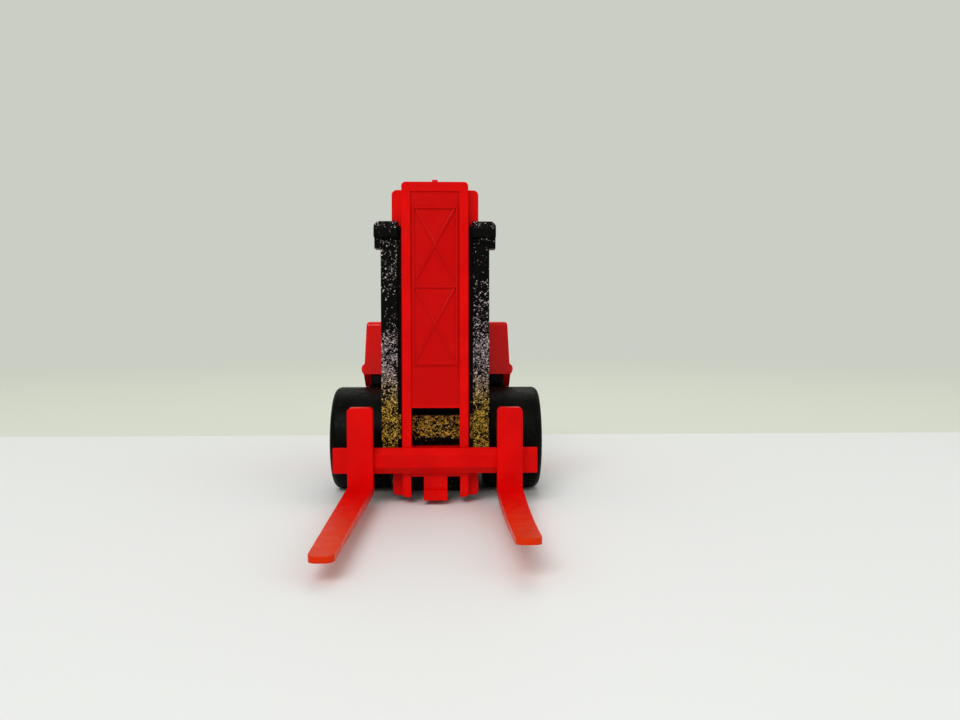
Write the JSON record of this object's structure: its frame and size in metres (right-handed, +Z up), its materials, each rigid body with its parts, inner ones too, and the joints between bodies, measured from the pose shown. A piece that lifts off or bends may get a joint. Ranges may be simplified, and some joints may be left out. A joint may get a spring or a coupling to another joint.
{
  "type": "toy forklift",
  "caption": "Pocket toy forklift truck: cast red body, open driver's seat, black mast that tilts back, red fork carriage that slides up it, free-rolling wheels.",
  "frame": {"origin": "on the ground, under the middle of the whole toy's box", "axes": "+Z up, forks point along -Y, the driver's left is +X"},
  "size_m": [0.0268, 0.067, 0.0388],
  "materials": {
    "red_paint": "gloss red enamel on a die casting",
    "red_plastic": "satin red moulded plastic, faintly translucent",
    "mast_black": "black paint with fine pale speckled wear",
    "black_plastic": "fine matte moulded plastic",
    "tyre": "satin black moulded wheel plastic",
    "hub": "satin pale grey moulded plastic",
    "steel": "drawn steel wire"
  },
  "bodies": {
    "chassis": {"body_shell": "red_paint", "base_plate": "black_plastic", "base_rivets": "steel", "driver_seat": "black_plastic", "steering_column": "black_plastic", "steering_wheel": "black_plastic", "tow_pin": "steel", "front_axle": "steel", "rear_axle": "steel", "mast_pivot_pin": "steel"},
    "mast": {"mast_frame": "mast_black"},
    "carriage": {"fork_carriage": "red_plastic"},
    "wheel_front_left": {"tyre_front_left": "tyre", "hub_front_left": "hub"},
    "wheel_front_right": {"tyre_front_right": "tyre", "hub_front_right": "hub"},
    "wheel_rear_left": {"tyre_rear_left": "tyre", "hub_rear_left": "hub"},
    "wheel_rear_right": {"tyre_rear_right": "tyre", "hub_rear_right": "hub"}
  },
  "joints": [
    {"name": "mast_tilt", "type": "hinge", "parent": "chassis", "child": "mast", "pos_m": [0, 0.0031, 0.005], "axis": [-1, 0, 0], "range_deg": [0, 6]},
    {"name": "carriage_lift", "type": "slide", "parent": "mast", "child": "carriage", "axis": [0, 0, 1], "range_m": [0, 0.02]},
    {"name": "roll_front_left", "type": "hinge", "parent": "chassis", "child": "wheel_front_left", "pos_m": [0, 0.0065, 0.00665], "axis": [1, 0, 0], "continuous": true},
    {"name": "roll_front_right", "type": "hinge", "parent": "chassis", "child": "wheel_front_right", "pos_m": [0, 0.0065, 0.00665], "axis": [1, 0, 0], "continuous": true},
    {"name": "roll_rear_left", "type": "hinge", "parent": "chassis", "child": "wheel_rear_left", "pos_m": [0, 0.0275, 0.0048], "axis": [1, 0, 0], "continuous": true},
    {"name": "roll_rear_right", "type": "hinge", "parent": "chassis", "child": "wheel_rear_right", "pos_m": [0, 0.0275, 0.0048], "axis": [1, 0, 0], "continuous": true}
  ]
}
